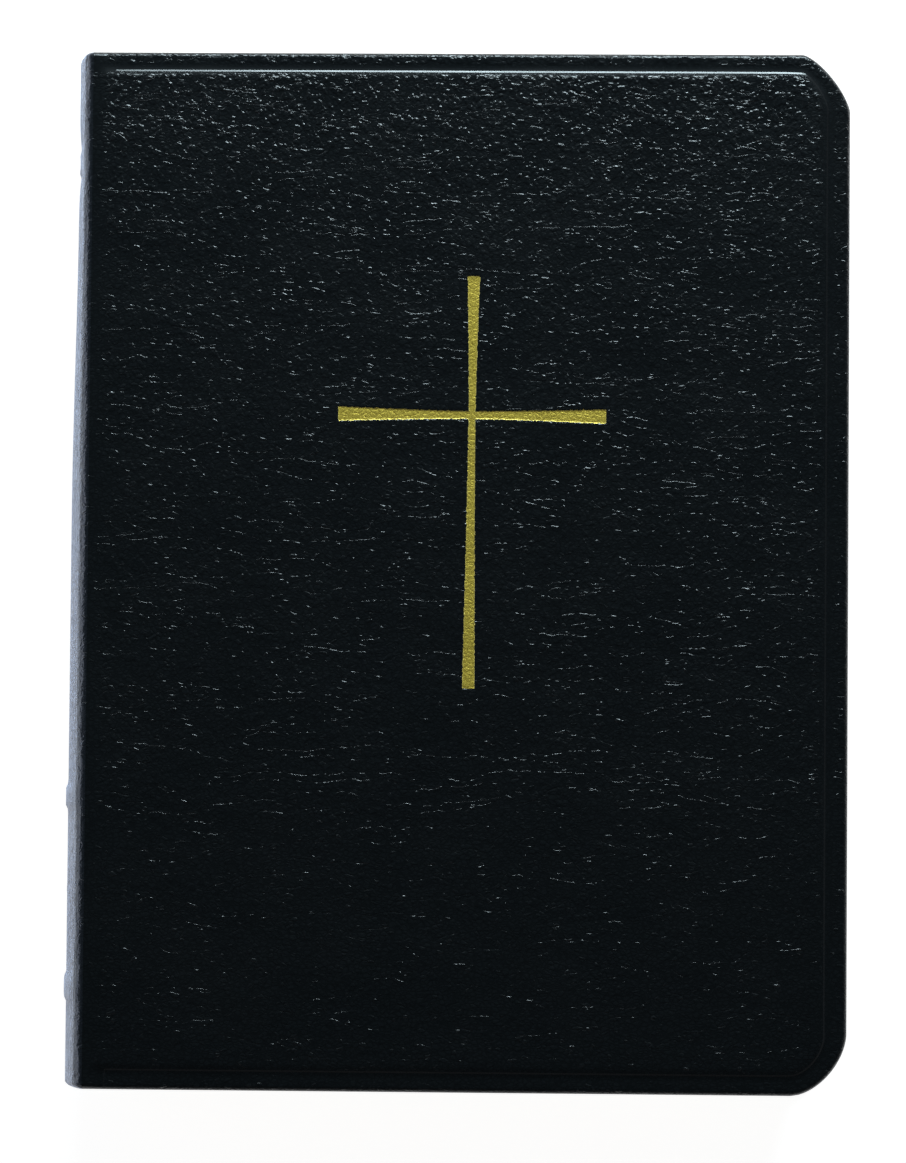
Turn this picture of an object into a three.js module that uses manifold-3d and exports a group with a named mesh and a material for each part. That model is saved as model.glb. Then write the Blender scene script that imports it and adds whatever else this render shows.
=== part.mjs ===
// A personal-size prayer book in a limp black leather binding, lying closed on its back cover.
//
// Units are millimetres. X runs from the spine to the fore edge, Y from tail to head, and Z up
// from the back cover to the front cover. The origin is at the middle of the book's underside.
//
// The book is built as a binder builds it: leather over card boards, endpapers, sewn signatures,
// mull, headbands and a hollow on the rounded back, and a lined leather spine over false bands.
// The leather is one skin on the real book. Here it is three pieces, split at the two joints
// where the covers fold.

import * as THREE from 'three';
import { mergeVertices } from 'three/addons/utils/BufferGeometryUtils.js';
import Module from 'manifold-3d';

// ---- Whole book
const BOOK_LENGTH = 150;
const BOOK_WIDTH = 113.6;
const BOOK_THICKNESS = 25.6;
const FIT = 0.05; // between two pieces that are pasted together
const SPLIT = 0.02; // between the leather pieces at each joint

// ---- Covers
const COVER_THICKNESS = 2;
const COVER_CORNER = 8;
const LEATHER = 0.9;
const BOARD = 0.8;
const FIELD_RELIEF = 0.35; // the padded field stands this far above the pressed border
const BORDER = 2.5;
const TURN_IN = 9;
const TURN_IN_CORNER = 1;
const BOARD_TO_JOINT = 3;

// ---- Spine
const SPINE_BULGE = 3.65;
const BAND_RELIEF = 0.35;
const BAND_WIDTH = 3.4;
const BAND_STRIP_WIDTH = 2.8;
const BAND_STRIP = 0.3;
const BAND_PLACES = [0.103, 0.72, 0.904]; // shares of the length, from the head
const LINER = 0.35;
const CAP_TURN_IN = 0.3;
const CAP_TURN_IN_DEPTH = 8;
const HOLLOW = 0.4;
const HOLLOW_WALL = 0.1;
const MULL = 0.2;
const MULL_LENGTH = 124;

// ---- Text block
const LEAF_WIDTH = 106.4;
const LEAF_LENGTH = 144;
const LEAF_CORNER = 6;
const SIGNATURES_PER_HALF = 16;
const BACK_ROUNDING = 1.5;
const ENDPAPER = 0.12;
const PASTEDOWN = 0.13;
const PASTEDOWN_INSET = 3.2;
const AIR = 0.02; // between one leaf or signature and the next
const MIDDLE_OPENING = 0.4; // where the ribbons lie

// ---- Headbands and ribbons
const BEAD_RADIUS = 0.65;
const BEAD_SET_IN = 0.75; // the bead's centre, in from the back of the tape
const HEADBAND_TAPE = 0.2;
const RIBBON_WIDTH = 5;
const RIBBON_LENGTH = 136;
const RIBBON_THICKNESS = 0.2;
const RIBBONS = [
  { x: -38, slant: 0.06 },
  { x: -24, slant: 0.11 },
];

// ---- Foil stamping
const FOIL = 0.05;
const CROSS_DEPTH = 0.3;
const FRONT_CROSS = {
  x: 2.5,
  y: 22.7,
  up: 20,
  down: 39.9,
  side: 19.5,
  waist: 1.2,
  end: 2.1,
};
const SPINE_CROSS = {
  x: 0,
  y: -46.5,
  up: 3.4,
  down: 6,
  side: 3,
  waist: 0.6,
  end: 1.1,
};

// ---- How far each curved piece wraps round the back, in radians each way from the middle
const ORNAMENT_SWEEP = 0.5;
const HOLLOW_SWEEP = 0.95;
const HOLLOW_SEAM = 0.02; // the folded edge of the hollow, at each side
const CAP_SWEEP = 1.05;
const LINER_SWEEP = 1.15;
const TAPE_SWEEP = 1.2;
const BEAD_SWEEP = 1.3;
const MULL_SWEEP = 1.35;

// ---- Joining and cutting
const WELD = 1e-4; // corners closer than this are one corner
const OVERRUN = 1; // a cutter runs this far past the face it opens
const BITE = 0.1; // two joined layers share this much

// ---- Smoothness of round shapes
const CORNER_STEPS = 4;
const SPINE_STEPS = 9;
const BEAD_STEPS = 4;
const BEAD_LENGTH_STEPS = 14;
const FLARE_STEPS = 3;

// ---- Worked out from the sizes above
const HEAD = BOOK_LENGTH / 2;
const MIDDLE_Z = BOOK_THICKNESS / 2;
const FORE_EDGE = BOOK_WIDTH / 2;
const JOINT_X = SPINE_BULGE + BAND_RELIEF - FORE_EDGE;
const BOARD_X = JOINT_X + BOARD_TO_JOINT;
const BLOCK_HALF = MIDDLE_Z - COVER_THICKNESS - PASTEDOWN - ENDPAPER - 3 * AIR;
const SIGNATURE_PITCH = (BLOCK_HALF - MIDDLE_OPENING / 2) / SIGNATURES_PER_HALF;

const wasm = await Module();
wasm.setup();

const book = new THREE.Group();

const finishes = {
  leather: { color: 0x0e1214, roughness: 0.45, metalness: 0 },
  board: { color: 0x8b8478, roughness: 0.9, metalness: 0 },
  endpaper: { color: 0xe9e2cf, roughness: 0.85, metalness: 0 },
  pages: { color: 0xefe7d2, roughness: 0.8, metalness: 0 },
  liner: { color: 0xa58f6b, roughness: 0.9, metalness: 0 },
  mull: { color: 0xdad6c8, roughness: 0.95, metalness: 0 },
  headband: { color: 0xb8942f, roughness: 0.6, metalness: 0 },
  redRibbon: { color: 0x7d1420, roughness: 0.5, metalness: 0 },
  goldRibbon: { color: 0xb38a2e, roughness: 0.5, metalness: 0 },
  foil: { color: 0xb9a53c, roughness: 0.35, metalness: 1 },
};

function addPiece(name, geometry, finish) {
  const mesh = new THREE.Mesh(geometry, new THREE.MeshStandardMaterial(finishes[finish]));
  mesh.name = name;
  book.add(mesh);
}

// ---- Joining and cutting

function solidOf(geometry) {
  const bare = geometry.clone();
  bare.deleteAttribute('normal');
  bare.deleteAttribute('uv');
  const merged = mergeVertices(bare, WELD);
  return new wasm.Manifold(
    new wasm.Mesh({
      numProp: 3,
      vertProperties: new Float32Array(merged.attributes.position.array),
      triVerts: new Uint32Array(merged.index.array),
    })
  );
}

function geometryOf(solid) {
  const mesh = solid.getMesh();
  const geometry = new THREE.BufferGeometry();
  geometry.setAttribute('position', new THREE.BufferAttribute(mesh.vertProperties, 3));
  geometry.setIndex(new THREE.BufferAttribute(mesh.triVerts, 1));
  geometry.computeVertexNormals();
  return geometry;
}

function joined(geometries) {
  return geometries.map(solidOf).reduce((whole, next) => whole.add(next));
}

// ---- Flat pieces, in the plane of the covers

// A panel with round corners at the fore edge and square ones at the spine.
function panelShape(left, right, reach, corner) {
  const shape = new THREE.Shape();
  shape.moveTo(left, reach);
  shape.lineTo(left, -reach);
  shape.absarc(right - corner, corner - reach, corner, -Math.PI / 2, 0, false);
  shape.absarc(right - corner, reach - corner, corner, 0, Math.PI / 2, false);
  shape.closePath();
  return shape;
}

function slab(shape, low, high, steps = CORNER_STEPS) {
  const geometry = new THREE.ExtrudeGeometry(shape, {
    depth: high - low,
    bevelEnabled: false,
    curveSegments: steps,
  });
  return geometry.translate(0, 0, low);
}

// A Latin cross whose arms swell from a narrow waist to square, flared ends.
function crossShape({ x, y, up, down, side, waist, end }) {
  const w = waist / 2;
  const e = end / 2;
  const shape = new THREE.Shape();
  shape.moveTo(x - w, y + w);
  for (const [reach, turn] of [[up, 0], [side, 1], [down, 2], [side, 3]]) {
    const at = (across, along) => {
      const angle = (-turn * Math.PI) / 2;
      return [
        x + across * Math.cos(angle) - along * Math.sin(angle),
        y + across * Math.sin(angle) + along * Math.cos(angle),
      ];
    };
    shape.quadraticCurveTo(...at(-w, reach / 2), ...at(-e, reach));
    shape.lineTo(...at(e, reach));
    if (turn < 3) {
      shape.quadraticCurveTo(...at(w, reach / 2), ...at(w, w));
    } else {
      shape.quadraticCurveTo(...at(w, reach / 2), x - w, y + w);
    }
  }
  return shape;
}

// ---- Curved pieces of the spine, all with the same centre and running along Y

function alongSpine(shape, low, high) {
  const geometry = new THREE.ExtrudeGeometry(shape, {
    depth: high - low,
    bevelEnabled: false,
    curveSegments: SPINE_STEPS,
  });
  return geometry.rotateX(Math.PI / 2).translate(0, high, 0);
}

// A half ellipse that swells out from the line between the two joints.
function roundBackShape({ halfHeight, bulge }) {
  const shape = new THREE.Shape();
  shape.absellipse(JOINT_X, MIDDLE_Z, bulge, halfHeight, Math.PI / 2, (3 * Math.PI) / 2);
  shape.closePath();
  return shape;
}

// The crescent between two half ellipses, cut off sweep radians each way from the middle.
// Each ellipse is given as its half height and its bulge.
function crescent(path, outer, inner, sweep) {
  const [start, stop] = [Math.PI - sweep, Math.PI + sweep];
  path.absellipse(JOINT_X, MIDDLE_Z, outer.bulge, outer.halfHeight, start, stop, false);
  path.absellipse(JOINT_X, MIDDLE_Z, inner.bulge, inner.halfHeight, stop, start, true);
  path.closePath();
  return path;
}

// The round back at a depth in from the outer face of the leather.
function backAt(depth) {
  return { halfHeight: MIDDLE_Z - depth, bulge: SPINE_BULGE - depth };
}

// A strip of even thickness that follows the round back.
function strip(depth, thickness, sweep, low, high) {
  const shape = crescent(new THREE.Shape(), backAt(depth), backAt(depth + thickness), sweep);
  return alongSpine(shape, low, high);
}

// ---- Covers. Depths are measured from the cover's outer face towards the pages.

function coverPieces(name, isFront) {
  const level = (depth) => (isFront ? BOOK_THICKNESS - depth : depth);
  const layer = (shape, outer, inner, steps) => {
    const [low, high] = [level(outer), level(inner)].sort((a, b) => a - b);
    return slab(shape, low, high, steps);
  };
  const left = JOINT_X + SPLIT / 2;
  const edge = LEATHER;
  const boardTop = LEATHER + BOARD;

  const skin = joined([
    layer(panelShape(left, FORE_EDGE, HEAD, COVER_CORNER), FIELD_RELIEF, COVER_THICKNESS),
    layer(
      panelShape(left, FORE_EDGE - BORDER, HEAD - BORDER, COVER_CORNER - BORDER),
      0,
      FIELD_RELIEF + BITE
    ),
  ]);
  const pocket = layer(
    panelShape(JOINT_X - OVERRUN, FORE_EDGE - edge, HEAD - edge, COVER_CORNER - edge),
    LEATHER,
    boardTop
  );
  const window = layer(
    panelShape(JOINT_X - OVERRUN, FORE_EDGE - TURN_IN, HEAD - TURN_IN, TURN_IN_CORNER),
    boardTop - BITE,
    COVER_THICKNESS + OVERRUN
  );
  let leather = skin.subtract(solidOf(pocket)).subtract(solidOf(window));
  if (isFront) {
    const recess = layer(crossShape(FRONT_CROSS), -OVERRUN, CROSS_DEPTH, FLARE_STEPS);
    leather = leather.subtract(solidOf(recess));
  }
  addPiece(`${name}_leather`, geometryOf(leather), 'leather');

  const inset = edge + FIT;
  const raised = TURN_IN + FIT;
  const board = joined([
    layer(
      panelShape(BOARD_X, FORE_EDGE - inset, HEAD - inset, COVER_CORNER - inset),
      LEATHER + FIT,
      boardTop - FIT
    ),
    layer(
      panelShape(BOARD_X, FORE_EDGE - raised, HEAD - raised, TURN_IN_CORNER),
      boardTop - FIT - BITE,
      COVER_THICKNESS - FIT
    ),
  ]);
  addPiece(`${name}_board`, geometryOf(board), 'board');

  const pasted = panelShape(
    BOARD_X,
    FORE_EDGE - PASTEDOWN_INSET,
    HEAD - PASTEDOWN_INSET,
    COVER_CORNER - PASTEDOWN_INSET
  );
  const paste = COVER_THICKNESS + AIR;
  addPiece(`${name}_pastedown`, layer(pasted, paste, paste + PASTEDOWN), 'endpaper');

  const flyleaf = COVER_THICKNESS + PASTEDOWN + 2 * AIR;
  const leaf = panelShape(JOINT_X, JOINT_X + LEAF_WIDTH, LEAF_LENGTH / 2, LEAF_CORNER);
  addPiece(`${name}_flyleaf`, layer(leaf, flyleaf, flyleaf + ENDPAPER), 'endpaper');
}

// The foil lies at the bottom of its recess, clear of the walls.
function frontCross() {
  const slim = { ...FRONT_CROSS };
  slim.waist -= 2 * FIT;
  slim.end -= 2 * FIT;
  for (const arm of ['up', 'down', 'side']) {
    slim[arm] -= FIT;
  }
  const floor = BOOK_THICKNESS - CROSS_DEPTH + AIR;
  addPiece('cross_foil', slab(crossShape(slim), floor, floor + FOIL, FLARE_STEPS), 'foil');
}

// ---- Text block

// How far the round back carries a leaf towards the spine, at a height from the middle.
function backOffset(height) {
  return BACK_ROUNDING * Math.sqrt(Math.max(0, 1 - (height / BLOCK_HALF) ** 2));
}

function signatures() {
  for (let half = 0; half < 2; half += 1) {
    for (let n = 0; n < SIGNATURES_PER_HALF; n += 1) {
      const side = half === 0 ? -1 : 1;
      const rank = half === 0 ? SIGNATURES_PER_HALF - 1 - n : n;
      const inner = MIDDLE_OPENING / 2 + rank * SIGNATURE_PITCH;
      const outer = inner + SIGNATURE_PITCH - AIR;
      const left = JOINT_X - backOffset(outer);
      const shape = panelShape(left, left + LEAF_WIDTH, LEAF_LENGTH / 2, LEAF_CORNER);
      const [low, high] = [MIDDLE_Z + side * inner, MIDDLE_Z + side * outer].sort((a, b) => a - b);
      const number = String(half * SIGNATURES_PER_HALF + n + 1).padStart(2, '0');
      addPiece(`signature_${number}`, slab(shape, low, high), 'pages');
    }
  }
}

function ribbons() {
  RIBBONS.forEach(({ x, slant }, i) => {
    const geometry = new THREE.BoxGeometry(RIBBON_WIDTH, RIBBON_LENGTH, RIBBON_THICKNESS);
    geometry.rotateZ(slant).translate(x, 0, MIDDLE_Z);
    addPiece(`ribbon_marker_${i + 1}`, geometry, i === 0 ? 'redRibbon' : 'goldRibbon');
  });
}

// ---- Spine. Depths are measured in from the leather's outer face.

const linerDepth = LEATHER + FIT;
const capDepth = linerDepth + LINER + FIT;
const hollowDepth = capDepth;
const mullDepth = hollowDepth + HOLLOW + FIT;

const bandY = BAND_PLACES.map((share) => HEAD - share * BOOK_LENGTH);

// The back where it runs over a band: swollen at the middle, and unchanged at the joints.
function overBand(depth) {
  const { halfHeight, bulge } = backAt(depth);
  return { halfHeight, bulge: bulge + BAND_RELIEF };
}

function spineLeather() {
  const wall = LEATHER;
  const outer = [alongSpine(roundBackShape(backAt(0)), -HEAD, HEAD)];
  const inner = [alongSpine(roundBackShape(backAt(wall)), wall - HEAD, HEAD - wall)];
  for (const y of bandY) {
    const half = BAND_WIDTH / 2;
    const slot = BAND_STRIP_WIDTH / 2 + FIT;
    outer.push(alongSpine(roundBackShape(overBand(0)), y - half, y + half));
    inner.push(alongSpine(roundBackShape(overBand(wall)), y - slot, y + slot));
  }
  // Past the head and tail of the text block the skin is open towards the pages,
  // and its turned-in edge is a second layer inside the liner.
  const mouth = roundBackShape(backAt(capDepth + CAP_TURN_IN));
  inner.push(alongSpine(mouth, -HEAD - OVERRUN, HEAD + OVERRUN));
  const caps = [
    strip(capDepth, CAP_TURN_IN, CAP_SWEEP, HEAD - CAP_TURN_IN_DEPTH, HEAD - wall / 2),
    strip(capDepth, CAP_TURN_IN, CAP_SWEEP, wall / 2 - HEAD, CAP_TURN_IN_DEPTH - HEAD),
  ];
  const away = new THREE.BoxGeometry(
    SPLIT,
    BOOK_LENGTH + 2 * OVERRUN,
    BOOK_THICKNESS + 2 * OVERRUN
  );
  away.translate(JOINT_X, 0, MIDDLE_Z);
  const leather = joined(outer).subtract(joined(inner)).add(joined(caps)).subtract(solidOf(away));
  addPiece('spine_leather', geometryOf(leather), 'leather');
}

function spinePieces() {
  const linerReach = HEAD - LEATHER - FIT;
  addPiece('spine_liner', strip(linerDepth, LINER, LINER_SWEEP, -linerReach, linerReach), 'liner');

  bandY.forEach((y, i) => {
    const half = BAND_STRIP_WIDTH / 2;
    const back = overBand(linerDepth);
    const front = { ...back, bulge: back.bulge - BAND_STRIP };
    const shape = crescent(new THREE.Shape(), back, front, LINER_SWEEP);
    addPiece(`raised_band_${i + 1}`, alongSpine(shape, y - half, y + half), 'board');
  });

  // A flattened paper tube, open at the head and the tail.
  const tubeReach = HEAD - CAP_TURN_IN_DEPTH - FIT;
  const [near, far] = [hollowDepth, hollowDepth + HOLLOW];
  const tube = crescent(new THREE.Shape(), backAt(near), backAt(far), HOLLOW_SWEEP);
  const bore = crescent(
    new THREE.Path(),
    backAt(near + HOLLOW_WALL),
    backAt(far - HOLLOW_WALL),
    HOLLOW_SWEEP - HOLLOW_SEAM
  );
  tube.holes.push(bore);
  addPiece('spine_hollow', alongSpine(tube, -tubeReach, tubeReach), 'liner');

  addPiece('mull', strip(mullDepth, MULL, MULL_SWEEP, -MULL_LENGTH / 2, MULL_LENGTH / 2), 'mull');
}

// A headband is a bead that stands on the edge of the leaves, on a tape pasted down the back.
function headband(name, side) {
  const inner = MULL_LENGTH / 2 + FIT;
  const beadY = LEAF_LENGTH / 2 + BEAD_RADIUS + FIT;
  const [low, high] = side > 0 ? [inner, beadY] : [-beadY, -inner];
  const tape = strip(mullDepth, HEADBAND_TAPE, TAPE_SWEEP, low, high);

  const beadDepth = mullDepth + BEAD_SET_IN;
  const points = [];
  for (let n = 0; n <= BEAD_LENGTH_STEPS; n += 1) {
    const angle = Math.PI + BEAD_SWEEP * ((2 * n) / BEAD_LENGTH_STEPS - 1);
    points.push(
      new THREE.Vector3(
        JOINT_X + (SPINE_BULGE - beadDepth) * Math.cos(angle),
        side * beadY,
        MIDDLE_Z + (MIDDLE_Z - beadDepth) * Math.sin(angle)
      )
    );
  }
  const section = new THREE.Shape();
  section.absarc(0, 0, BEAD_RADIUS, 0, 2 * Math.PI);
  const bead = new THREE.ExtrudeGeometry(section, {
    steps: BEAD_LENGTH_STEPS,
    bevelEnabled: false,
    curveSegments: BEAD_STEPS,
    extrudePath: new THREE.CatmullRomCurve3(points),
  });
  addPiece(name, geometryOf(joined([tape, bead])), 'headband');
}

// A small plain cross stamped low on the spine, between the two lower bands.
function spineOrnament() {
  const lift = FOIL + AIR;
  const low = SPINE_CROSS.y - SPINE_CROSS.down - OVERRUN;
  const high = SPINE_CROSS.y + SPINE_CROSS.up + OVERRUN;
  const shell = strip(-lift, FOIL, ORNAMENT_SWEEP, low, high);
  const stamp = slab(crossShape(SPINE_CROSS), 0, BOOK_WIDTH, FLARE_STEPS);
  stamp.rotateY(-Math.PI / 2).translate(0, 0, MIDDLE_Z);
  const foil = solidOf(shell).intersect(solidOf(stamp));
  addPiece('spine_ornament', geometryOf(foil), 'foil');
}

coverPieces('back', false);
coverPieces('front', true);
frontCross();
signatures();
ribbons();
spineLeather();
spinePieces();
headband('head_band', 1);
headband('tail_band', -1);
spineOrnament();

export default book;
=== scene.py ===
"""The prayer book's looks: grained leather, foil, gilt text block, endpapers, headbands, ribbons.

Shapes are worked out in millimetres in the part's own frame (X spine to fore edge, Y tail to head,
Z back cover to front cover) and become metres when a mesh is made. Each mesh keeps its rest
position, in millimetres, in the attribute "rest", so that grain and print stay put when it bends.
"""

import math

import bpy
import numpy as np
from mathutils import Matrix, Vector


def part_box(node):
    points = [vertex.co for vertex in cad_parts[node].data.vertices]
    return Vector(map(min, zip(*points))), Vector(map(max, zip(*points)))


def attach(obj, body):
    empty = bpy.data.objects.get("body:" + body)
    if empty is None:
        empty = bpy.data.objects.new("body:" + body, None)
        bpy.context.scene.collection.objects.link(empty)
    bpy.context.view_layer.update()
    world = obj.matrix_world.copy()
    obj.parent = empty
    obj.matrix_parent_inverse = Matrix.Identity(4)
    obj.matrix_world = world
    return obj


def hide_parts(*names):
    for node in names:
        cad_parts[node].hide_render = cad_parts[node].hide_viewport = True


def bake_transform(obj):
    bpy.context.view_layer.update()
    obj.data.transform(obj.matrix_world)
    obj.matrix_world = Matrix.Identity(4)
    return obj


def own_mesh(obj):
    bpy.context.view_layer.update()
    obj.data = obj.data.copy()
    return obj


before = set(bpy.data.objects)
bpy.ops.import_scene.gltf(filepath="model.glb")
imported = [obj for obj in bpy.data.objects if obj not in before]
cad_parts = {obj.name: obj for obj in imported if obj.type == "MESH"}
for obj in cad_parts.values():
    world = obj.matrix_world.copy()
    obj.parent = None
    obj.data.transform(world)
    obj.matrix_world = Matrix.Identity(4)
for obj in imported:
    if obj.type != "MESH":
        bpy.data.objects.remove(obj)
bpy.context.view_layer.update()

MM = 0.001
SIGNATURES = sorted(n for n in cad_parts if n.startswith("signature_"))


def box_mm(node):
    low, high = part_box(node)
    return np.array(low) / MM, np.array(high) / MM


# ---- Sizes read from the frame
back_low, back_high = box_mm("back_leather")
JOINT_X = float(back_low[0])
FORE_X = float(back_high[0])
HEAD = float(back_high[1])
TOP = float(box_mm("front_leather")[1][2])
MIDDLE_Z = TOP / 2
COVER = float(back_high[2])
BULGE = JOINT_X - float(box_mm("spine_leather")[0][0])
LEAF_Y = float(box_mm(SIGNATURES[0])[1][1])
BANDS_Y = [float(sum(c[1] for c in box_mm(f"raised_band_{n}")) / 2) for n in (1, 2, 3)]
cross_low, cross_high = box_mm("cross_foil")

# ---- Leather skin
LEATHER = 0.9
EDGE_ROUND = 0.75
EDGE_DROP = 1.15  # depth at which the rounded edge becomes upright
# Each fore-edge corner: its reach in X and in Y, and a power. Below 2 is flatter than an ellipse.
HEAD_CORNER = (6.8, 8.3, 1.38)
TAIL_CORNER = (7.9, 8.8, 1.7)
BORDER_RELIEF = 0.38
BORDER_HEAD = 2.75
BORDER_FORE = 3.3
BORDER_TAIL = 2.9
STEP_WIDTH = 1.8
CROWN = 0.12  # the field is this much lower beside the border than at its middle
CROWN_REACH = 2.2
SURFACE_WAVE = 0.018
SKIN_REACH = 0.9  # grain shows on leather that lies this near the outer level
TURN_IN = 9
JOINT_STRIP = 3
SHOULDER = 1.2
SHOULDER_STEP = 1.0
BAND_RELIEF = 0.35
BAND_WIDTH = 3.4
HEAD_SLIM = 0.62  # how much flatter the back is at the head than at the tail
PINCH = 0.5
PINCH_REACH = 3.4

# ---- Leather grain; noise in cells per millimetre, heights in millimetres
WANDER_NOISE = 0.37
WANDER = (1.7, 1.3, 1.3)
CREASE_NOISE = (0.045, 0.21, 0.21)
CREASE_COUNT = 7.0
CREASE_EDGE = 0.07
DASH_NOISE = (1.0, 0.8, 0.8)
DASH_RANGE = (0.44, 0.62)
CREASE_HEIGHTS = (0.06, 0.004)  # in a dash, and what remains between dashes
CREASE_FADE = 1.5
PEBBLE_NOISE = (1.3, 1.9, 1.9)
PEBBLE_EDGE = 0.3
SHARP_POWER = 7.0  # the higher, the fewer sharp pebbles
PEBBLE_HEIGHTS = (0.05, 0.019)  # the sharpest, and every one
PEBBLE_FADE = 0.3
PORE_NOISE = 6.0
PORE_HEIGHT = 0.003
SWELL_NOISE = (0.05, 0.13, 0.13)
SWELL_HEIGHT = 0.1
STREAK_NOISE = (0.2, 0.2, 1.6)
STEP_REACH = 0.12
STEP_HEIGHT = 0.055
GLOSS_NOISE = 0.09
GLOSS_RANGE = (0.22, 0.29)

# ---- Front cross
CROSS_X = 2.5
CROSS_Y = 22.4
CROSS_LEAN = 0.35  # degrees, clockwise
CROSS_UPRIGHT = (0.96, 1.76)  # width at the crossing and at the ends
CROSS_BAR = (1.06, 2.04)
CROSS_WALL = 0.16
CROSS_DEPTH = 0.14
CROSS_GROW = 0.03  # the stamped recess is this much wider than the foil
FOIL_LIFT = 0.01

# ---- Text block
BACKS_X = JOINT_X + 2.3
BACKS_END = BACKS_X + 0.2  # where an opened leaf meets its folded back, in the ribbons' reach
BACKS_BULGE = 1.6
INNER_SQUEEZE = 0.6  # the strips behind the leather lie closer where the back is slim
GUTTER_X = JOINT_X + 11.5
LEAF_CORNER = 6
RIBBON_WIDTH = 5
RIBBON_THICK = 0.14
RIBBON_LAYER = 0.09  # each ribbon lies this far from the middle of the block
BEAD_RADIUS = 0.6
BEAD_SWEEP = 1.35  # radians
WINDING = 1.15  # of the headband's silk


# ---------------------------------------------------------------- small helpers

def smooth(t):
    t = np.clip(t, 0.0, 1.0)
    return t * t * (3 - 2 * t)


def bell(t):
    return np.exp(-t * t)


def samples(low, high, step, fine=()):
    """Places from low to high, step apart, and closer inside each (centre, reach, step) of fine."""
    places = [low]
    while places[-1] < high:
        here = places[-1]
        pitch = step
        for centre, reach, small in fine:
            gap = abs(here - centre) - reach
            if gap < 0:
                pitch = min(pitch, small)
            elif gap < step * 2:
                pitch = min(pitch, max(small, gap))
        places.append(here + pitch)
    places = np.array(places)
    return low + (places - low) * (high - low) / (places[-1] - low)


def grid_faces(rows, columns, start=0):
    """Quads of a grid whose vertex (row, column) is number start + row * columns + column."""
    r, c = np.meshgrid(np.arange(rows - 1), np.arange(columns - 1), indexing="ij")
    a = (start + r * columns + c).ravel()
    return np.stack([a, a + 1, a + columns + 1, a + columns], axis=1).tolist()


def layers(x, y, levels):
    """Copies of one grid of places, one above another, at the Z of each level."""
    return np.concatenate(
        [np.stack([x, y, np.broadcast_to(z, x.shape)], axis=-1).reshape(-1, 3) for z in levels]
    )


def sheet_faces(rows, columns):
    """Faces of a closed sheet of two layers: first both flat sides, then the sides all round."""
    size = rows * columns
    flat = grid_faces(rows, columns, size) + [f[::-1] for f in grid_faces(rows, columns)]
    index = np.arange(size).reshape(rows, columns)
    loop = np.concatenate([index[0, :], index[1:, -1], index[-1, -2::-1], index[-2:0:-1, 0]])
    after = np.roll(loop, -1)
    return flat, np.stack([loop, after, after + size, loop + size], axis=1).tolist()


def make(name, verts, faces, materials, slot, face_material=None, smooth_shade=True, grain=None):
    """A mesh object from vertices in millimetres, with its rest positions kept.

    The grain is two rows of values, for the attributes "grain" and "past_step".
    """
    verts = np.asarray(verts, float)
    mesh = bpy.data.meshes.new(name)
    mesh.from_pydata((verts * MM).tolist(), [], faces)
    mesh.validate()
    for material in materials:
        mesh.materials.append(material)
    if face_material is not None:
        mesh.polygons.foreach_set("material_index", np.asarray(face_material, np.int32))
    mesh.polygons.foreach_set("use_smooth", [smooth_shade] * len(mesh.polygons))
    keep_rest(mesh)
    if grain is not None:
        for key, values in zip(("grain", "past_step"), np.asarray(grain, np.float32)):
            mesh.attributes.new(key, "FLOAT", "POINT").data.foreach_set("value", values.copy())
    obj = bpy.data.objects.new(name, mesh)
    bpy.context.scene.collection.objects.link(obj)
    return obj


def keep_rest(mesh):
    places = np.zeros(len(mesh.vertices) * 3, np.float32)
    mesh.vertices.foreach_get("co", places)
    rest = mesh.attributes.new("rest", "FLOAT_VECTOR", "POINT")
    rest.data.foreach_set("vector", places / np.float32(MM))


def point(x, y, z):
    return (x * MM, y * MM, z * MM)


# ---------------------------------------------------------------- materials

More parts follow.
